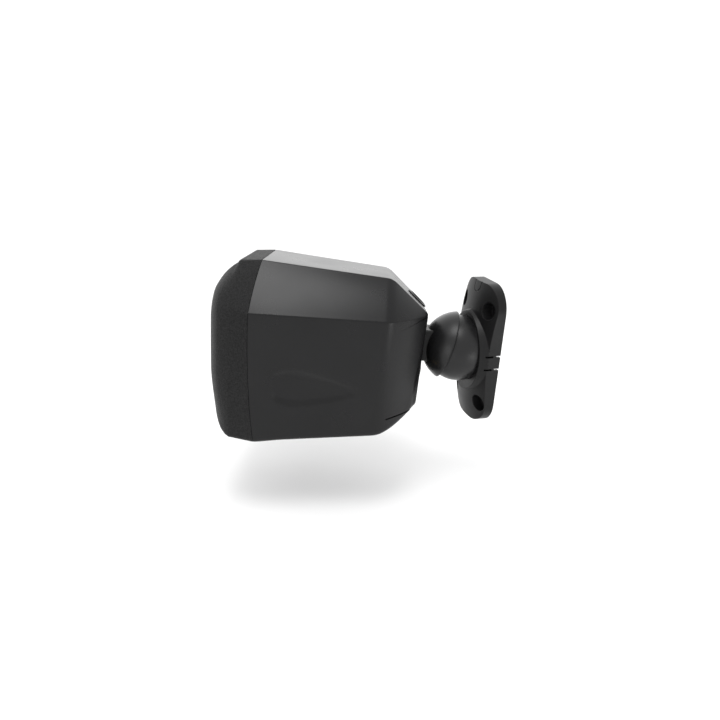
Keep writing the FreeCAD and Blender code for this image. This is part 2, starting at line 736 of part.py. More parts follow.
def make_rear_fittings():
    inside = "-rear_reach - wall"
    switch = join(box(("-9", f"{inside} - 9", "knob_z - 9"), ("9", inside, "knob_z + 7.5")),
                  cylinder("3.2", inside, "-rear_reach", "0", "knob_z"))
    piece("tap_switch", cut(switch, cylinder("2.05", f"{inside} - 7", "-30", "0", "knob_z")),
          CABINET)
    knob = join(cylinder("knob_radius", "-rear_reach + 0.3", "-rear_reach + knob_proud", "0",
                         "knob_z"),
                cylinder("2", f"{inside} - 6", "-rear_reach + 1", "0", "knob_z"))
    slot = box(("-0.8", "-rear_reach + knob_proud - 1.2", "knob_z - 6"),
               ("0.8", "-rear_reach + knob_proud + 1", "knob_z + 6"))
    piece("tap_selector_knob", cut(knob, slot), CABINET)
    block = box(("-terminal_half + 0.2", f"{inside} - 6", "terminal_foot + 0.2"),
                ("terminal_half - 0.2", "-rear_reach", "terminal_top - 0.2"))
    ways = [cylinder("1.7", "-rear_reach - 5", "-rear_reach + 1", f"{place} * 6", "-42")
            for place in (-1.5, -0.5, 0.5, 1.5)]
    spots = [(f"{place} * 6", "-36") for place in (-1.5, -0.5, 0.5, 1.5)]
    seats = [cylinder("1.7", "-rear_reach - 5", "-rear_reach + 1", across, up)
             for across, up in spots]
    piece("terminal_block", cut(block, *ways, *seats), CABINET)
    heads = [cut(cylinder("1.7", "-rear_reach - 5", "-rear_reach - 0.8", across, up),
                 box((f"{across} - 1.2", "-rear_reach - 1.6", f"{up} - 0.3"),
                     (f"{across} + 1.2", "-rear_reach", f"{up} + 0.3")))
             for across, up in spots]
    piece("terminal_screws", group(heads), CABINET)
    insert = cut(cylinder("4", inside, "-rear_reach", "22", "knob_z"),
                 cylinder("2.1", f"{inside} - 1", "-rear_reach + 1", "22", "knob_z"))
    piece("safety_insert", insert, CABINET)
    piece("damping_pad", box(("-38", "-100", "8"), ("38", "-80", "40")), CABINET)


# ---- Build, check and write ---------------------------------------------------------

for make in (make_wall_plate, make_ball_boss, make_ball_joint, make_neck, make_cabinet,
             make_port, make_front, make_woofer, make_tweeter, make_electronics,
             make_rear_fittings):
    make()
document.recompute()

for item in document.Objects:
    assert "Invalid" not in item.State and "Error" not in item.State, (item.Label, item.State)

os.makedirs("parts", exist_ok=True)
for old in os.listdir("parts"):
    os.remove(os.path.join("parts", old))
for item in PIECES:
    shape = item.Shape
    assert not shape.isNull() and shape.isValid(), item.Label
    shape.exportStep(os.path.join("parts", item.Label + ".step"))
    print(f"{item.Label:24s} solids {len(shape.Solids)}  volume {shape.Volume / 1000:9.3f} cm3")
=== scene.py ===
"""Looks for the wall loudspeaker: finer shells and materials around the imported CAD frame.

Lengths are in metres. The cabinet's own frame has its origin at the ball's centre, X to the
right, Y towards the wall and Z up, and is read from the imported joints.
"""

import json
import math

import bmesh
import bpy
from mathutils import Matrix, Vector


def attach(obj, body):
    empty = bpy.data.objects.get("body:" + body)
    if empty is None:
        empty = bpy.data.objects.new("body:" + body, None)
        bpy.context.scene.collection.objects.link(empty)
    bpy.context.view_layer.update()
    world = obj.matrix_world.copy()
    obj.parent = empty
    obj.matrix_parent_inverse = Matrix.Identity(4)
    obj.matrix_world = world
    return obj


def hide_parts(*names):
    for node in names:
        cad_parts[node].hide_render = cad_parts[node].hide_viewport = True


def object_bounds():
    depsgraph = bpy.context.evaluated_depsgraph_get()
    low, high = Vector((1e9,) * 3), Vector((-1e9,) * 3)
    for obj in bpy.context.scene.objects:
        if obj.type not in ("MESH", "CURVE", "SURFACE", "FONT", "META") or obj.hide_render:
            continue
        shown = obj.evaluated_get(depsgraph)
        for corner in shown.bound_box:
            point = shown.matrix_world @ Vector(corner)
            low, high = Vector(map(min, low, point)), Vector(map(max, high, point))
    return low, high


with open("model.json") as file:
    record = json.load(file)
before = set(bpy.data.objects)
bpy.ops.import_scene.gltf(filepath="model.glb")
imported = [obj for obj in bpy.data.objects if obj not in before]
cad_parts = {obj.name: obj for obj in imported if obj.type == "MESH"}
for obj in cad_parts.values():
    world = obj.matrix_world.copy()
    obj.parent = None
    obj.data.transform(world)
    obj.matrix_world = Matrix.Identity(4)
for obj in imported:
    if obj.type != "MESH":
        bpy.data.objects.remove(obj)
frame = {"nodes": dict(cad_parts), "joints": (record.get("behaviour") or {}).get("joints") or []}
CAD_BOX = [list(corner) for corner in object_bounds()]
MM = 0.001

# Camera: where the object is seen from.
CAMERA_PLACE = (0.44629, -0.23206, 0.17287)
CAMERA_AZIMUTH, CAMERA_ELEVATION, CAMERA_ROLL = 14.86, 20.94, 2.0
LENS, SENSOR_WIDTH = 29.08, 36.0     # mm
CLIP_NEAR, CLIP_FAR = 0.01, 50.0


# ---- The cabinet's frame, from the joints ---------------------------------------------

JOINTS = {joint["name"]: joint for joint in frame["joints"]}
BALL = Vector(JOINTS["pan"]["pos_m"])
BACKWARD = -Vector(JOINTS["cone_excursion"]["axis"]).normalized()
DOME_AXIS = Vector(JOINTS["roll"]["axis"]).normalized()
UPWARD = (BACKWARD * DOME_AXIS.dot(BACKWARD) - DOME_AXIS).normalized()
RIGHTWARD = BACKWARD.cross(UPWARD)


def basis(right, back, up):
    """A matrix that carries a frame drawn about the ball to where it is at rest."""
    turn = Matrix((right, back, up)).transposed().to_4x4()
    return Matrix.Translation(BALL) @ turn


CABINET = basis(RIGHTWARD, BACKWARD, UPWARD)
DOME = basis(RIGHTWARD, DOME_AXIS, RIGHTWARD.cross(DOME_AXIS))


# ---- Mesh helpers ---------------------------------------------------------------------

def add_mesh(name, points, faces, place=CABINET, smooth=True):
    """A piece drawn in its own frame, and stored in the row's."""
    mesh = bpy.data.meshes.new(name)
    mesh.from_pydata([place @ Vector(point) for point in points], [], faces)
    mesh.validate()
    for face in mesh.polygons:
        face.use_smooth = smooth
    piece = bpy.data.objects.new(name, mesh)
    bpy.context.scene.collection.objects.link(piece)
    return piece


def skin(rows, close_start=False, close_end=False):
    """Quads between rings of equal length, with flat ends where asked."""
    count = len(rows[0])
    points = [point for row in rows for point in row]
    faces = []
    for row in range(len(rows) - 1):
        for step in range(count):
            after = (step + 1) % count
            faces.append((row * count + step, row * count + after,
                          (row + 1) * count + after, (row + 1) * count + step))
    if close_start:
        faces.append(tuple(reversed(range(count))))
    if close_end:
        faces.append(tuple(range((len(rows) - 1) * count, len(rows) * count)))
    return points, faces


def turned(name, profile, place, steps=128):
    """A closed lathe piece about the frame's Y axis, from (radius, forward) corners."""
    rows = []
    for radius, forward in profile:
        rows.append([(radius * math.cos(2 * math.pi * step / steps), -forward,
                      radius * math.sin(2 * math.pi * step / steps)) for step in range(steps)])
    points, faces = skin(rows)
    last = (len(profile) - 1) * steps
    for step in range(steps):
        after = (step + 1) % steps
        faces.append((last + step, last + after, after, step))
    return add_mesh(name, points, faces, place)


def modify(piece, kind, **settings):
    """Adds a modifier with the settings given."""
    modifier = piece.modifiers.new(kind.title(), kind)
    for name, value in settings.items():
        setattr(modifier, name, value)
    return modifier


def apply_modifiers(piece):
    """Leaves the piece with the mesh that its modifiers make, and none of them."""
    bpy.context.view_layer.update()
    graph = bpy.context.evaluated_depsgraph_get()
    mesh = bpy.data.meshes.new_from_object(piece.evaluated_get(graph))
    piece.modifiers.clear()
    old = piece.data
    piece.data = mesh
    bpy.data.meshes.remove(old)
    return piece


def sharpen(piece, degrees=35):
    """Smooth shading with creases kept, stored in the mesh."""
    piece.data.set_sharp_from_angle(angle=math.radians(degrees))
    return piece


# ---- Cabinet surface ------------------------------------------------------------------

# Reach in front of the ball, then top, ridge and foot corners as (half width, height), mm.
STATIONS = (
    (172.0, (40.1, 64.3), (71.0, 27.4), (55.0, -84.4)),
    (66.5, (35.7, 59.4), (63.6, 29.8), (47.2, -71.9)),
    (34.0, (30.0, 33.2), (31.4, 31.4), (30.8, -51.5)),
)
REAR_BOW, FOOT_BOW = 2.4, 2.2       # how far the rear sides and foot swell outward, mm
REAR_LEAN = 3.6                     # how much further forward the rear face's foot is, mm
LEAN_FOOT = -52                     # height at which the lean reaches its full amount, mm
CREASE_BLEND = 4.2                  # how far each side of the crease its round edge reaches, mm
CORNER_RADII = (1.6, 2.2, 5.0)      # top, ridge and foot corners, mm
SHORT_SIDE_SHARE = 0.42             # the most of a short face that a corner's round may take
CORNER_STEPS = 6
EDGE_STEPS = (10, 14, 40, 24)       # top, upper side, main side and underside
EDGE_BULGE = (0.0, 0.9, 0.8, 0.0)   # how far each face swells at its middle, mm
MIDDLE_HEIGHT = -10                 # a height well inside every section, mm
REAR_ROUND = 1.5                    # radius of the rear face's edge, mm
REAR_ROUND_STEPS = 4
REAR_INSETS = (2.1, 2.7, 3.3, 3.9, 4.4)      # rings on the rear face, the last holding it flat
SIDE_RINGS, CREASE_RINGS, REAR_RINGS = 64, 8, 14


def smooth_step(low, high, value):
    """0 below low, 1 above high, and a smooth rise between."""
    part = min(1.0, max(0.0, (value - low) / (high - low)))
    return part * part * (3 - 2 * part)


def corners_at(reach):
    """The right side's three corners at a reach, with the crease rounded."""
    front, crease, rear = STATIONS

    def straight(first, second, where):
        part = (first[0] - where) / (first[0] - second[0])
        return [Vector(a).lerp(Vector(b), part) for a, b in zip(first[1:], second[1:])]

    def bowed(where):
        top, ridge, foot = straight(crease, rear, where)
        part = (crease[0] - where) / (crease[0] - rear[0])
        swell = 4 * part * (1 - part)
        return [top, ridge + Vector((REAR_BOW * swell, 0)),
                foot + Vector((REAR_BOW * swell, -FOOT_BOW * swell))]

    start, stop = crease[0] + CREASE_BLEND, crease[0] - CREASE_BLEND
    if reach >= start:
        return straight(front, crease, reach)
    if reach <= stop:
        return bowed(reach)
    part = (start - reach) / (start - stop)
    before, after = straight(front, crease, start), bowed(stop)
    middle = [Vector(corner) for corner in crease[1:]]
    return [a * (1 - part) ** 2 + b * 2 * part * (1 - part) + c * part ** 2
            for a, b, c in zip(before, middle, after)]


def rounded_outline(corners, radii, bulges, steps=EDGE_STEPS):
    """Points round a closed outline from three right-hand corners and their mirror image."""
    top, ridge, foot = corners
    loop = [top, ridge, foot] + [Vector((-c.x, c.y)) for c in (foot, ridge, top)]
    loop_radii = list(radii) + list(reversed(radii))
    loop_steps = [steps[1], steps[2], steps[3], steps[2], steps[1], steps[0]]
    loop_bulge = [bulges[1], bulges[2], bulges[3], bulges[2], bulges[1], bulges[0]]
    arcs = []
    for index, corner in enumerate(loop):
        before = (loop[index - 1] - corner).normalized()
        after = (loop[(index + 1) % 6] - corner).normalized()
        half = before.angle(after) / 2
        short = min((loop[index - 1] - corner).length, (loop[(index + 1) % 6] - corner).length)
        back = min(loop_radii[index] / math.tan(half), SHORT_SIDE_SHARE * short)
        start, stop = corner + before * back, corner + after * back
        arc = []
        for step in range(CORNER_STEPS + 1):
            part = step / CORNER_STEPS
            arc.append(start * (1 - part) ** 2 + corner * 2 * part * (1 - part)
                       + stop * part ** 2)
        arcs.append(arc)
    points = []
    for index in range(6):
        points += arcs[index]
        start, stop = arcs[index][-1], arcs[(index + 1) % 6][0]
        along = stop - start
        outward = Vector((along.y, -along.x)).normalized()
        if outward.dot((start + stop) / 2 - Vector((0, MIDDLE_HEIGHT))) < 0:
            outward = -outward
        for step in range(1, loop_steps[index]):
            part = step / loop_steps[index]
            points.append(start + along * part
                          + outward * loop_bulge[index] * 4 * part * (1 - part))
    return points


SEAM_MIDDLE, SEAM_FORWARD = 20, 1.5          # where the front seam is furthest forward, mm
SEAM_ABOVE, SEAM_BELOW = (3.7, 44), (6.5, 102)       # how far it falls back, over what height
SEAM_FADE = (140, 172)                       # reaches between which the side takes the seam on


def seam_shift(height):
    """How far forward of flat the cabinet's front seam runs at a height, mm."""
    if height > SEAM_MIDDLE:
        fall, run = SEAM_ABOVE
        return SEAM_FORWARD - fall * ((height - SEAM_MIDDLE) / run) ** 2
    fall, run = SEAM_BELOW
    return SEAM_FORWARD - fall * ((SEAM_MIDDLE - height) / run) ** 2


SCOOP_FRONT, SCOOP_TAIL = 159.0, 83.0        # reaches of the teardrop's ends, mm
SCOOP_HALF, SCOOP_DEPTH, SCOOP_LEVEL = 17.5, 2.8, -31.5
SCOOP_NOSE, SCOOP_TAPER = 0.32, 0.25         # shares of its length: blunt end, start of the taper
SCOOP_LEAST = 0.3                            # half width below which it is left out, mm
SCOOP_WALL, SCOOP_START = 0.75, 0.14         # how soon it reaches full depth, across and along


def scoop(reach, height):
    """Depth of the teardrop hollow in the side faces, mm."""
    along = (SCOOP_FRONT - reach) / (SCOOP_FRONT - SCOOP_TAIL)
    if not 0 < along < 1:
        return 0.0
    nose = math.sqrt(1 - (1 - min(along / SCOOP_NOSE, 1)) ** 2)
    tail = (1 - max(0.0, (along - SCOOP_TAPER) / (1 - SCOOP_TAPER)) ** 1.5) ** 0.9
    half = SCOOP_HALF * nose * tail
    if half < SCOOP_LEAST:
        return 0.0
    across = (height - SCOOP_LEVEL) / half
    if abs(across) >= 1:
        return 0.0
    edge = 1 - abs(across) ** 2.4
    return (SCOOP_DEPTH * smooth_step(0, SCOOP_WALL, edge)
            * smooth_step(0, SCOOP_START, along) * tail ** 0.5)


def cabinet_ring(reach, inset=0.0):
    """One ring of the cabinet's outer surface, in the cabinet's frame."""
    corners = corners_at(reach)
    shrink = [Vector((c.x - inset, c.y - inset if c.y > 0 else c.y + inset)) for c in corners]
    ring = []
    fade = smooth_step(STATIONS[2][0], STATIONS[1][0], reach)
    bulges = [amount * fade for amount in EDGE_BULGE]
    for point in rounded_outline(shrink, CORNER_RADII, bulges):
        forward = reach + seam_shift(point.y) * smooth_step(*SEAM_FADE, reach)
        forward += (REAR_LEAN * (1 - fade)
                    * smooth_step(STATIONS[2][1][1], LEAN_FOOT, point.y)
                    * (1 - smooth_step(0, REAR_INSETS[-1], inset)))
        sunk = scoop(reach, point.y)
        across = point.x - math.copysign(sunk, point.x) if sunk else point.x
        ring.append((across * MM, -forward * MM, point.y * MM))
    return ring


def spread(start, stop, count):
    """Evenly spaced values from start up to, but not including, stop."""
    return [start + (stop - start) * step / count for step in range(count)]


def cabinet_reaches():
    crease, rear = STATIONS[1][0], STATIONS[2][0]
    reaches = spread(STATIONS[0][0], crease + CREASE_BLEND, SIDE_RINGS)
    reaches += spread(crease + CREASE_BLEND, crease - CREASE_BLEND, CREASE_RINGS)
    return reaches + spread(crease - CREASE_BLEND, rear + REAR_ROUND, REAR_RINGS)


def whole_cabinet():
    """The cabinet's outer surface, closed at the rear and open at the front."""
    rows = [cabinet_ring(reach) for reach in cabinet_reaches()]
    rear = STATIONS[2][0]
    for step in range(REAR_ROUND_STEPS + 1):
        angle = math.pi / 2 * step / REAR_ROUND_STEPS
        rows.append(cabinet_ring(rear + REAR_ROUND * (1 - math.sin(angle)),
                                 REAR_ROUND * (1 - math.cos(angle))))
    rows += [cabinet_ring(rear, inset) for inset in REAR_INSETS]
    return skin(rows, close_end=True)


# ---- Shell and rear cover -------------------------------------------------------------

COVER_FRONT = 60.0
COVER_TOP = ((-60.0, 21.0), (-34.0, 31.0))       # (y, z) of the cover's top seam, mm
COVER_FOOT = ((-60.0, -55.0), (-34.0, -49.4))
TOP_GAP, FOOT_GAP = 0.7, 1.5                     # seam widths at the rear face, mm
SHELL_WALL = 2.6
FOOT_TAPER = 0.8                                 # the foot seam's width where it starts
LIP_WALL, LIP_REACH, LIP_START = 1.0, 2.0, 5.5   # the cover's lip behind its seams, mm
LIP_CLEARANCE, LIP_RINGS = 0.15, 8
PORT_SEAT = 0.24                                 # how far up the rear top facet the port sits
PORT_BORE, PORT_DRILL = 9.3, (-12, 8)            # radius, and depths about the facet, mm


def plane_through(line, lift_front, lift_rear):
    """A plane that holds the X direction and a (y, z) line lifted at its two ends."""
    (y0, z0), (y1, z1) = line
    start = Vector((0, y0, z0 + lift_front)) * MM
    along = Vector((0, y1 - y0, z1 + lift_rear - z0 - lift_front))
    return start, Vector((0, -along.z, along.y)).normalized()


def in_row(point, normal):
    """A plane of the cabinet's frame, in the row's."""
    return CABINET @ point, (CABINET.to_3x3() @ normal).normalized()


def cut_cabinet(name, surface, top_lift, foot_lift, keep_cover, thickness=SHELL_WALL):
    """Cuts a surface along the cover's seams, keeps one side of them and gives it a wall."""
    points, faces = surface
    piece = add_mesh(name, points, faces)
    work = bmesh.new()
    work.from_mesh(piece.data)
    front = in_row(Vector((0, -COVER_FRONT, 0)) * MM, Vector((0, 1, 0)))
    top = in_row(*plane_through(COVER_TOP, 0, top_lift))
    foot = in_row(*plane_through(COVER_FOOT, foot_lift * FOOT_TAPER, foot_lift))
    for point, normal in (front, top, foot):
        everything = work.verts[:] + work.edges[:] + work.faces[:]
        bmesh.ops.bisect_plane(work, geom=everything, dist=1e-7, plane_co=point,
                               plane_no=normal)

    def in_cover(face):
        middle = face.calc_center_median()
        return ((middle - front[0]).dot(front[1]) > 0 and (middle - top[0]).dot(top[1]) < 0
                and (middle - foot[0]).dot(foot[1]) > 0)

    unwanted = [face for face in work.faces if in_cover(face) != keep_cover]
    bmesh.ops.delete(work, geom=unwanted, context="FACES")
    bmesh.ops.recalc_face_normals(work, faces=work.faces)
    work.to_mesh(piece.data)
    work.free()
    if not facing_out(piece):
        piece.data.flip_normals()
    modify(piece, "SOLIDIFY", thickness=thickness * MM, offset=-1)
    return apply_modifiers(piece)


def facing_out(piece):
    """True if the piece's surface faces away from its own middle."""
    middle = sum((v.co for v in piece.data.vertices), Vector()) / len(piece.data.vertices)
    return sum((p.center - middle).dot(p.normal) * p.area for p in piece.data.polygons) > 0


def bored(piece, radius, low, high, place, steps=96):
    """Cuts a round hole through a piece, about Z of a place."""
    rows = [[(radius * MM * math.cos(2 * math.pi * i / steps),
              radius * MM * math.sin(2 * math.pi * i / steps), level * MM)
             for i in range(steps)] for level in (low, high)]
    points, faces = skin(rows, close_start=True, close_end=True)
    drill = add_mesh("drill", points, faces, place)
    modify(piece, "BOOLEAN", object=drill, operation="DIFFERENCE", solver="EXACT")
    apply_modifiers(piece)
    bpy.data.objects.remove(drill)
    return piece


def port_frame():
    """The port's seat on the sloping rear top facet: Z points out of the cabinet."""
    crease, rear = STATIONS[1], STATIONS[2]
    run, drop = crease[0] - rear[0], crease[1][1] - rear[1][1]
    outward = Vector((0, drop, run)).normalized()
    across = Vector((1, 0, 0))
    middle = Vector((0, -rear[0] - PORT_SEAT * run, rear[1][1] + PORT_SEAT * drop)) * MM
    turn = Matrix((across, outward.cross(across), outward)).transposed().to_4x4()
    return CABINET @ Matrix.Translation(middle) @ turn


def lip_surface():
    """The open sleeve inside the walls that the rear cover's lip is cut from."""
    crease, rear = STATIONS[1][0], STATIONS[2][0]
    reaches = spread(crease + CREASE_BLEND, crease - CREASE_BLEND, CREASE_RINGS)
    reaches += spread(crease - CREASE_BLEND, rear + LIP_START, LIP_RINGS)
    return skin([cabinet_ring(reach, SHELL_WALL + LIP_CLEARANCE) for reach in reaches])


def merge(piece, extra):
    """Adds one piece's mesh to another's."""
    work = bmesh.new()
    work.from_mesh(piece.data)
    work.from_mesh(extra.data)
    work.to_mesh(piece.data)
    work.free()
    bpy.data.objects.remove(extra)


def make_shell():
    shell = cut_cabinet("cabinet_shell", whole_cabinet(), TOP_GAP, -FOOT_GAP, keep_cover=False)
    bored(shell, PORT_BORE, *PORT_DRILL, port_frame())
    cover = cut_cabinet("back_cover", whole_cabinet(), 0, 0, keep_cover=True)
    lip = cut_cabinet("cover_lip", lip_surface(), TOP_GAP + LIP_REACH, -FOOT_GAP - LIP_REACH,
                      keep_cover=True, thickness=LIP_WALL)
    merge(cover, lip)
    for piece, node in ((shell, "enclosure_shell"), (cover, "rear_cover")):
        sharpen(piece, 50)
        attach(piece, "speaker")
        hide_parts(node)
    return shell, cover


# ---- Grille ---------------------------------------------------------------------------

GRILLE_GAP = 0.6
GRILLE_SKIN = 1.1
GRILLE_DRAFT = 1.6                  # inset where the grille's side turns into its brow, mm
GRILLE_PROFILE = ((1.6, 188.0), (3.0, 191.6), (5.5, 195.2), (9.0, 198.2), (13.5, 200.6),
                  (19.0, 202.2), (26.0, 203.0))             # inset, reach
GRILLE_RADII = (5.0, 14.0, 5.0)
GRILLE_SIDE_RINGS, GRILLE_EDGE_RINGS, GRILLE_FACE_RINGS = 8, 5, 18
BROW_RISE, BROW_INSET = 3.8, 5      # how far the brow stands forward, and over what inset, mm
BROW_CROWN, BROW_CHIN = (9.5, 34, 66), (4.5, 22, 82)    # fall above and below, between heights


def brow(height):
    """How far the grille's front stands ahead of its profile at a height, mm."""
    crown, crown_low, crown_high = BROW_CROWN
    chin, chin_high, chin_low = BROW_CHIN
    return (BROW_RISE - crown * smooth_step(crown_low, crown_high, height)
            - chin * smooth_step(chin_high, chin_low, -height))


INSET_ACROSS, INSET_DOWN = (0.5, 1.05, 1.05), (1.0, 0.05, 1.0)   # each corner's share of an inset
RADIUS_GROWTH = 20                  # inset that doubles the corners' radii, mm


def grille_outline(inset):
    """The front seam's outline drawn in by an inset, with corners that grow rounder."""
    corners = [Vector((c[0] - inset * across, c[1] + (inset if c[1] < 0 else -inset * down)))
               for c, across, down in zip(STATIONS[0][1:], INSET_ACROSS, INSET_DOWN)]
    share = smooth_step(0, GRILLE_DRAFT, inset)
    grow = 1 + inset / RADIUS_GROWTH
    radii = [a + (b * grow - a) * share for a, b in zip(CORNER_RADII, GRILLE_RADII)]
    return rounded_outline(corners, radii, EDGE_BULGE)


def grille_ring(inset, level):
    """A ring of the grille at an inset, level a reach or a function of height."""
    ring = []
    for point in grille_outline(inset):
        if callable(level):
            forward = level(point.y)
        else:
            forward = level + brow(point.y) * smooth_step(0, BROW_INSET, inset)
        ring.append((point.x * MM, -forward * MM, point.y * MM))
    return ring


def make_grille():
    def side(part):
        def reach(height):
            seam = STATIONS[0][0] + GRILLE_GAP + seam_shift(height)
            edge = (GRILLE_PROFILE[0][1]
                    + brow(height) * smooth_step(0, BROW_INSET, GRILLE_DRAFT))
            return seam + (edge - seam) * part
        return reach

    rows = [grille_ring(GRILLE_DRAFT * step / GRILLE_SIDE_RINGS, side(step / GRILLE_SIDE_RINGS))
            for step in range(GRILLE_SIDE_RINGS)]
    knots = [Vector(knot) for knot in GRILLE_PROFILE]
    for index in range(len(knots) - 1):
        before = knots[max(index - 1, 0)]
        after = knots[min(index + 2, len(knots) - 1)]
        start, stop = knots[index], knots[index + 1]
        for step in range(GRILLE_EDGE_RINGS):
            spot = hermite(start, stop, (stop - before) / 2, (after - start) / 2,
                           step / GRILLE_EDGE_RINGS)
            rows.append(grille_ring(spot.x, spot.y))
    outline = grille_outline(knots[-1].x)
    centre = Vector((0, MIDDLE_HEIGHT))
    for step in range(GRILLE_FACE_RINGS):
        part = 1 - step / GRILLE_FACE_RINGS
        ring = []
        for point in outline:
            spot = centre + (point - centre) * part
            forward = knots[-1].y + brow(spot.y)
            ring.append((spot.x * MM, -forward * MM, spot.y * MM))
        rows.append(ring)
    points, faces = skin(rows, close_end=True)
    grille = add_mesh("front_grille", points, faces)
    if not facing_out(grille):
        grille.data.flip_normals()
    modify(grille, "SOLIDIFY", thickness=GRILLE_SKIN * MM, offset=-1)
    apply_modifiers(grille)
    sharpen(grille, 60)
    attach(grille, "speaker")
    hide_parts("grille_mesh")
    return grille


def hermite(start, stop, leaving, arriving, part):
    """A point on the smooth curve between two points with the slopes given."""
    square, cube = part ** 2, part ** 3
    return (start * (2 * cube - 3 * square + 1) + leaving * (cube - 2 * square + part)
            + stop * (3 * square - 2 * cube) + arriving * (cube - square))


# ---- Ball joint and neck --------------------------------------------------------------

DOME_RADIUS, DOME_WALL, DOME_RIM = 32.0, 2.8, 10.6   # mm, the rim ahead of the ball's centre
RIM_START = 1.4                          # degrees before the rim at which its edge turns
RIM_TURN, RIM_SINK = 0.5, 0.12           # degrees before the rim, and mm under the radius
RIM_DROP = 0.7                           # how far under the radius the rim's face starts, mm
DOME_STEPS, DOME_INNER_STEPS = 48, 40
BOLT_HOLE = 3.3
NECK_HALF, NECK_TOP, NECK_FOOT, NECK_BACK = 13.5, 15.5, -12.0, 20.0
NECK_ROUND, NECK_EDGE, NECK_CLEARANCE = 2.2, 0.5, 0.02


def arc(radius, start, stop, steps):
    """(radius, forward) points on a circle about the ball, angles from the forward axis."""
    points = []
    for step in range(steps + 1):
        angle = math.radians(start + (stop - start) * step / steps)
        points.append((radius * math.sin(angle) * MM, radius * math.cos(angle) * MM))
    return points


def make_dome():
    rim = math.degrees(math.acos(DOME_RIM / DOME_RADIUS))
    inner = DOME_RADIUS - DOME_WALL
    hole = math.degrees(math.asin(BOLT_HOLE / DOME_RADIUS))
    hole_inner = math.degrees(math.asin(BOLT_HOLE / inner))
    rim_inner = math.degrees(math.acos(DOME_RIM / inner))
    turn, sunk = math.radians(rim - RIM_TURN), DOME_RADIUS - RIM_SINK
    profile = arc(DOME_RADIUS, hole, rim - RIM_START, DOME_STEPS)
    profile += [(sunk * math.sin(turn) * MM, sunk * math.cos(turn) * MM),
                ((DOME_RADIUS - RIM_DROP) * math.sin(math.radians(rim)) * MM, DOME_RIM * MM)]
    profile += arc(inner, rim_inner, hole_inner, DOME_INNER_STEPS)
    dome = turned("ball_socket", profile, DOME)
    sharpen(dome, 40)
    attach(dome, "speaker")
    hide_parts("socket_dome")
    return dome


def make_neck():
    """A rounded block between the rear face and the dome, hollowed to sit on the dome."""
    reach = STATIONS[2][0]
    low = Vector((-NECK_HALF, -reach, NECK_FOOT)) * MM
    high = Vector((NECK_HALF, -NECK_BACK, NECK_TOP)) * MM
    corners = [(x, y, z) for x in (low.x, high.x) for y in (low.y, high.y)
               for z in (low.z, high.z)]
    faces = [(0, 1, 3, 2), (4, 6, 7, 5), (0, 4, 5, 1), (2, 3, 7, 6), (0, 2, 6, 4), (1, 5, 7, 3)]
    neck = add_mesh("neck_saddle", corners, faces)
    work = bmesh.new()
    work.from_mesh(neck.data)
    bmesh.ops.recalc_face_normals(work, faces=work.faces)
    along = [edge for edge in work.edges
             if abs((edge.verts[0].co - edge.verts[1].co).normalized().y) > 0.9]
    bmesh.ops.bevel(work, geom=along, offset=NECK_ROUND * MM, segments=5, profile=0.5,
                    affect="EDGES")
    work.to_mesh(neck.data)
    work.free()
    bpy.ops.mesh.primitive_uv_sphere_add(segments=192, ring_count=96,
                                         radius=(DOME_RADIUS + NECK_CLEARANCE) * MM)
    ball = bpy.context.object
    ball.matrix_world = Matrix.Translation(BALL)
    modify(neck, "BOOLEAN", object=ball, operation="DIFFERENCE", solver="EXACT")
    apply_modifiers(neck)
    bpy.data.objects.remove(ball)
    modify(neck, "BEVEL", width=NECK_EDGE * MM, segments=3, limit_method="ANGLE",
           angle_limit=math.radians(40))
    apply_modifiers(neck)
    sharpen(neck, 40)
    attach(neck, "speaker")
    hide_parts("neck_block")
    return neck


# ---- Materials ------------------------------------------------------------------------

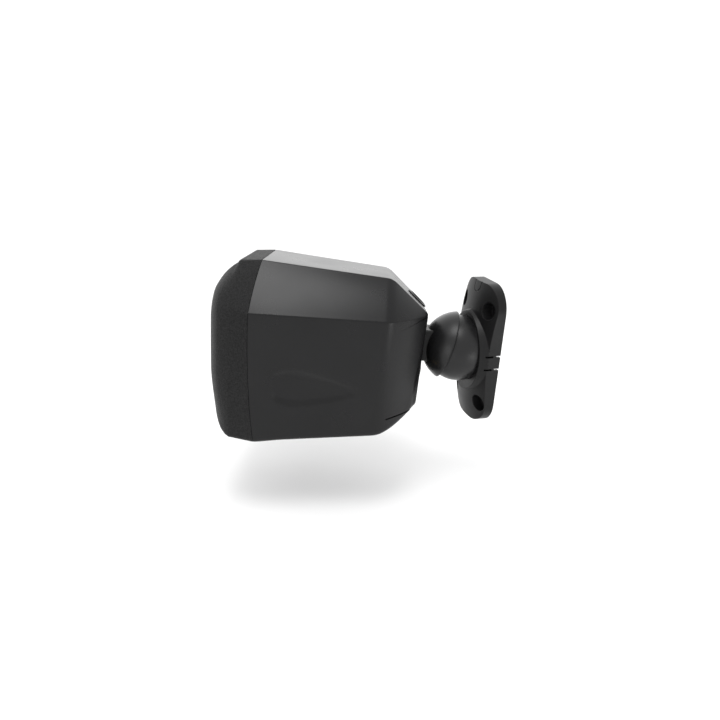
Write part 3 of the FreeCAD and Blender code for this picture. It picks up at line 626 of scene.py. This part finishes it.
class Shade:
    """A small builder for one procedural material."""

    def __init__(self, name):
        self.material = bpy.data.materials.new(name)
        self.material.use_nodes = True
        self.tree = self.material.node_tree
        self.tree.nodes.clear()
        self.surface = self.node("ShaderNodeBsdfPrincipled")
        output = self.node("ShaderNodeOutputMaterial")
        self.link(self.surface.outputs["BSDF"], output.inputs["Surface"])

    def node(self, kind, **settings):
        made = self.tree.nodes.new(kind)
        for name, value in settings.items():
            setattr(made, name, value)
        return made

    def link(self, source, target):
        self.tree.links.new(source, target)

    def put(self, node, **values):
        for name, value in values.items():
            node.inputs[name.replace("_", " ")].default_value = value
        return node

    def coordinates(self):
        return self.node("ShaderNodeTexCoord").outputs["Object"]

    def noise(self, scale, detail=2.0, rough=0.5):
        noise = self.put(self.node("ShaderNodeTexNoise"), Scale=scale, Detail=detail,
                         Roughness=rough)
        self.link(self.coordinates(), noise.inputs["Vector"])
        return noise.outputs["Fac"]

    def ramp(self, source, low, high, start=0.3, stop=0.7):
        ramp = self.node("ShaderNodeMapRange")
        self.put(ramp, From_Min=start, From_Max=stop, To_Min=low, To_Max=high)
        self.link(source, ramp.inputs["Value"])
        return ramp.outputs["Result"]

    def tint(self, source, low, high, start=0.3, stop=0.7):
        mix = self.node("ShaderNodeMix", data_type="RGBA")
        mix.inputs["A"].default_value = (*low, 1)
        mix.inputs["B"].default_value = (*high, 1)
        self.link(self.ramp(source, 0, 1, start, stop), mix.inputs["Factor"])
        self.link(mix.outputs["Result"], self.surface.inputs["Base Color"])

    def rough(self, source, low, high):
        self.link(self.ramp(source, low, high), self.surface.inputs["Roughness"])

    def bump(self, source, distance, strength=1.0, under=None):
        """Relief of a depth in metres, over the surface's own normals or those given."""
        bump = self.put(self.node("ShaderNodeBump"), Distance=distance, Strength=strength)
        self.link(source, bump.inputs["Height"])
        if under is not None:
            self.link(under, bump.inputs["Normal"])
        self.link(bump.outputs["Normal"], self.surface.inputs["Normal"])

    def math(self, kind, first, second=None):
        made = self.node("ShaderNodeMath", operation=kind)
        for place, value in enumerate((first, second)):
            if isinstance(value, (int, float)):
                made.inputs[place].default_value = value
            elif value is not None:
                self.link(value, made.inputs[place])
        return made.outputs[0]


CLOUD_SCALE, GLOSS_SCALE, GRAIN_SCALE = 28, 35, 450.0    # per metre, in the moulded plastics
KNIT_SCALE, FLECK_SCALE = 1500.0, 780                    # per metre, in the grille's cloth


def plastic(name, dark, light, smooth, dull, grain=0.00003, gloss=0.5, edge=0.0):
    """Moulded plastic: fine spark grain, cloudy colour and gloss, and softened edges."""
    shade = Shade(name)
    shade.tint(shade.noise(CLOUD_SCALE, 3), dark, light)
    shade.rough(shade.noise(GLOSS_SCALE, 2), smooth, dull)
    under = None
    if edge:
        under = shade.put(shade.node("ShaderNodeBevel", samples=6), Radius=edge).outputs["Normal"]
    shade.bump(shade.noise(GRAIN_SCALE, 3), grain, under=under)
    shade.put(shade.surface, IOR=1.5, Specular_IOR_Level=gloss)
    return shade.material


def metal(name, colour, smooth, dull, scale=400.0):
    """Bare metal with a cloudy tint and a fine, uneven polish."""
    shade = Shade(name)
    shade.tint(shade.noise(90, 3), [c * 0.85 for c in colour], colour)
    shade.rough(shade.noise(scale, 3), smooth, dull)
    shade.bump(shade.noise(scale * 2, 2), 0.00002)
    shade.put(shade.surface, Metallic=1.0)
    return shade.material


def woven(name, dark, light, scale, depth):
    """Cloth or wadding: crossed threads with fuzz."""
    shade = Shade(name)
    across = shade.put(shade.node("ShaderNodeTexWave", bands_direction="X"), Scale=scale,
                       Distortion=0.6)
    along = shade.put(shade.node("ShaderNodeTexWave", bands_direction="Z"), Scale=scale,
                      Distortion=0.6)
    for wave in (across, along):
        shade.link(shade.coordinates(), wave.inputs["Vector"])
    threads = shade.math("MAXIMUM", across.outputs["Fac"], along.outputs["Fac"])
    shade.tint(threads, dark, light)
    shade.bump(threads, depth)
    shade.put(shade.surface, Roughness=0.9, Sheen_Weight=0.3)
    return shade.material


def rubber(name, dark, light):
    """Dull rubber with a very fine grain."""
    shade = Shade(name)
    shade.tint(shade.noise(40, 3), dark, light)
    shade.rough(shade.noise(120, 3), 0.6, 0.8)
    shade.bump(shade.noise(900, 2), 0.00003)
    return shade.material


def grille_cloth(name):
    """Black acoustic cloth over a grille: an irregular fine knit with a soft sheen."""
    shade = Shade(name)
    knit = shade.put(shade.node("ShaderNodeTexVoronoi", feature="F1"), Scale=KNIT_SCALE,
                     Randomness=0.75)
    shade.link(shade.coordinates(), knit.inputs["Vector"])
    fleck = shade.noise(FLECK_SCALE, 2.5, 0.65)
    height = shade.math("SUBTRACT", fleck, shade.math("MULTIPLY", knit.outputs["Distance"], 0.6))
    shade.tint(height, (0.001, 0.001, 0.001), (0.013, 0.013, 0.0133), 0.0, 0.45)
    shade.bump(height, 0.0004, 0.8)
    shade.put(shade.surface, Roughness=0.8, Sheen_Weight=0.12, Sheen_Roughness=0.45,
              Specular_IOR_Level=0.25)
    return shade.material


def paint(node_or_piece, material):
    """Gives a new piece, or a CAD node by its name, one material all over."""
    piece = frame["nodes"][node_or_piece] if isinstance(node_or_piece, str) else node_or_piece
    piece.data.materials.clear()
    piece.data.materials.append(material)
    for face in piece.data.polygons:
        face.material_index = 0


def paint_everything(shell, cover, grille, dome, neck):
    satin = plastic("cabinet_plastic", (0.0045, 0.0045, 0.0048), (0.006, 0.006, 0.0064),
                    smooth=0.27, dull=0.30, grain=0.000006, gloss=0.25)
    matt = plastic("bracket_plastic", (0.0045, 0.0045, 0.0047), (0.0065, 0.0065, 0.0067),
                   smooth=0.36, dull=0.44, grain=0.00002, gloss=0.2, edge=0.0006)
    ball = plastic("ball_plastic", (0.005, 0.005, 0.0053), (0.007, 0.007, 0.0074),
                   smooth=0.30, dull=0.38, grain=0.000008, gloss=0.34)
    inner = plastic("inner_plastic", (0.015, 0.015, 0.015), (0.022, 0.022, 0.022),
                    smooth=0.5, dull=0.65)
    steel = metal("zinc_steel", (0.62, 0.62, 0.60), smooth=0.28, dull=0.42)
    cast = metal("cast_alloy", (0.66, 0.66, 0.67), smooth=0.4, dull=0.55)
    brass = metal("brass", (0.80, 0.60, 0.28), smooth=0.25, dull=0.4)
    copper = metal("enamelled_copper", (0.62, 0.28, 0.12), smooth=0.3, dull=0.4)
    ferrite = plastic("ferrite", (0.03, 0.03, 0.032), (0.06, 0.06, 0.062),
                      smooth=0.6, dull=0.75)
    black_rubber = rubber("butyl_rubber", (0.012, 0.012, 0.012), (0.022, 0.022, 0.022))
    board = plastic("circuit_board", (0.01, 0.08, 0.03), (0.015, 0.11, 0.045),
                    smooth=0.3, dull=0.45)
    mesh = grille_cloth("acoustic_cloth")
    paint(shell, satin)
    paint(cover, satin)
    paint(grille, mesh)
    paint(dome, ball)
    paint(neck, matt)
    slots = {
        satin: ("port_flare",),
        matt: ("wall_plate",),
        ball: ("ball_boss",),
        inner: ("port_tube", "front_baffle", "grille_frame", "tap_switch", "terminal_block",
                "tweeter_housing", "tweeter_faceplate", "woofer_basket", "woofer_cone",
                "tap_selector_knob", "crossover_capacitors"),
        steel: ("boss_screws", "neck_screws", "clamp_bolt", "clamp_nut", "woofer_top_plate",
                "woofer_pole_piece", "transformer_core", "transformer_bracket",
                "terminal_screws", "tweeter_magnet", "woofer_screws"),
        cast: ("pressure_cup", "swivel_washer", "voice_coil_former"),
        brass: ("tweeter_post", "safety_insert"),
        copper: ("voice_coil_winding", "crossover_coil"),
        ferrite: ("woofer_magnet",),
        black_rubber: ("woofer_surround", "woofer_gasket"),
        board: ("crossover_board",),
        woven("wadding", (0.6, 0.6, 0.57), (0.8, 0.8, 0.77), scale=300, depth=0.0004):
            ("damping_pad",),
        woven("spider_cloth", (0.35, 0.22, 0.08), (0.5, 0.34, 0.14), scale=900, depth=0.0001):
            ("woofer_spider",),
        woven("treble_cloth", (0.02, 0.02, 0.02), (0.05, 0.05, 0.05), scale=1500, depth=0.00005):
            ("tweeter_dome",),
        woven("winding_tape", (0.5, 0.4, 0.1), (0.65, 0.52, 0.18), scale=700, depth=0.0001):
            ("transformer_winding",),
        plastic("ceramic", (0.55, 0.53, 0.47), (0.65, 0.63, 0.57), smooth=0.5, dull=0.7):
            ("crossover_resistor",),
    }
    for material, nodes in slots.items():
        for node in nodes:
            paint(node, material)


# ---- Stage ----------------------------------------------------------------------------

FLOOR_DROP, FLOOR_HALF = 0.062, 6.0          # below the object, and half its width
GLOW_TOWARD = (-0.97, 0.22, 0.05)            # the studio's brighter side
GLOW = (("From Min", 0.4), ("From Max", 0.95), ("To Min", 1.10), ("To Max", 1.75))


def make_stage():
    level = CAD_BOX[0][2] - FLOOR_DROP
    corners = [(x * FLOOR_HALF, y * FLOOR_HALF, level)
               for x, y in ((-1, -1), (1, -1), (1, 1), (-1, 1))]
    floor = add_mesh("floor", corners, [(0, 1, 2, 3)], Matrix.Identity(4))
    shade = Shade("floor_paper")
    shade.tint(shade.noise(3, 2), (0.89, 0.89, 0.89), (0.91, 0.91, 0.91))
    shade.rough(shade.noise(40, 2), 0.6, 0.7)
    floor.data.materials.append(shade.material)

    bpy.context.scene.view_settings.view_transform = "Standard"
    world = bpy.data.worlds.new("studio")
    bpy.context.scene.world = world
    world.use_nodes = True
    tree = world.node_tree
    background = tree.nodes["Background"]
    spot = tree.nodes.new("ShaderNodeTexCoord")
    facing = tree.nodes.new("ShaderNodeVectorMath")
    facing.operation = "DOT_PRODUCT"
    facing.inputs[1].default_value = GLOW_TOWARD
    glow = tree.nodes.new("ShaderNodeMapRange")
    for name, value in GLOW:
        glow.inputs[name].default_value = value
    tree.links.new(spot.outputs["Generated"], facing.inputs[0])
    tree.links.new(facing.outputs["Value"], glow.inputs["Value"])
    tree.links.new(glow.outputs["Result"], background.inputs["Strength"])
    background.inputs["Color"].default_value = (1, 1, 1, 1)


def add_light(name, place, target, width, height, power):
    """A soft box that the camera doesn't see, aimed at a point."""
    light = bpy.data.lights.new(name, "AREA")
    light.shape = "RECTANGLE"
    light.size, light.size_y, light.energy = width, height, power
    item = bpy.data.objects.new(name, light)
    item.location = place
    item.visible_camera = False
    item.rotation_euler = (Vector(target) - Vector(place)).to_track_quat("-Z", "Y").to_euler()
    bpy.context.scene.collection.objects.link(item)


# Name, place, aim, width, height and power of each soft box.
LIGHTS = (
    ("overhead_box", (0.22, -0.28, 1.0), (0.0, -0.1, 0.0), 0.45, 0.5, 4.8),
    ("side_box", (0.72, -0.98, 0.12), (0.0, -0.1, 0.0), 0.28, 0.6, 1.1),
    ("low_box", (0.40, 0.17, -0.12), (0.04, -0.08, 0.0), 0.14, 0.16, 0.3),
)


def make_lights():
    for light in LIGHTS:
        add_light(*light)


def make_camera():
    azimuth, elevation = math.radians(CAMERA_AZIMUTH), math.radians(CAMERA_ELEVATION)
    toward = Vector((math.cos(azimuth) * math.cos(elevation),
                     -math.sin(azimuth) * math.cos(elevation), math.sin(elevation)))
    right = (-toward).cross(Vector((0, 0, 1))).normalized()
    up = right.cross(-toward)
    roll = math.radians(CAMERA_ROLL)
    turned_right = right * math.cos(roll) + up * math.sin(roll)
    turned_up = -right * math.sin(roll) + up * math.cos(roll)
    data = bpy.data.cameras.new("camera")
    data.lens, data.sensor_width = LENS, SENSOR_WIDTH
    data.clip_start, data.clip_end = CLIP_NEAR, CLIP_FAR
    camera = bpy.data.objects.new("camera", data)
    turn = Matrix((turned_right, turned_up, toward)).transposed().to_4x4()
    camera.matrix_world = Matrix.Translation(Vector(CAMERA_PLACE)) @ turn
    bpy.context.scene.collection.objects.link(camera)
    bpy.context.scene.camera = camera


shell, cover = make_shell()
grille = make_grille()
dome = make_dome()
neck = make_neck()
paint_everything(shell, cover, grille, dome, neck)
make_stage()
make_lights()
make_camera()
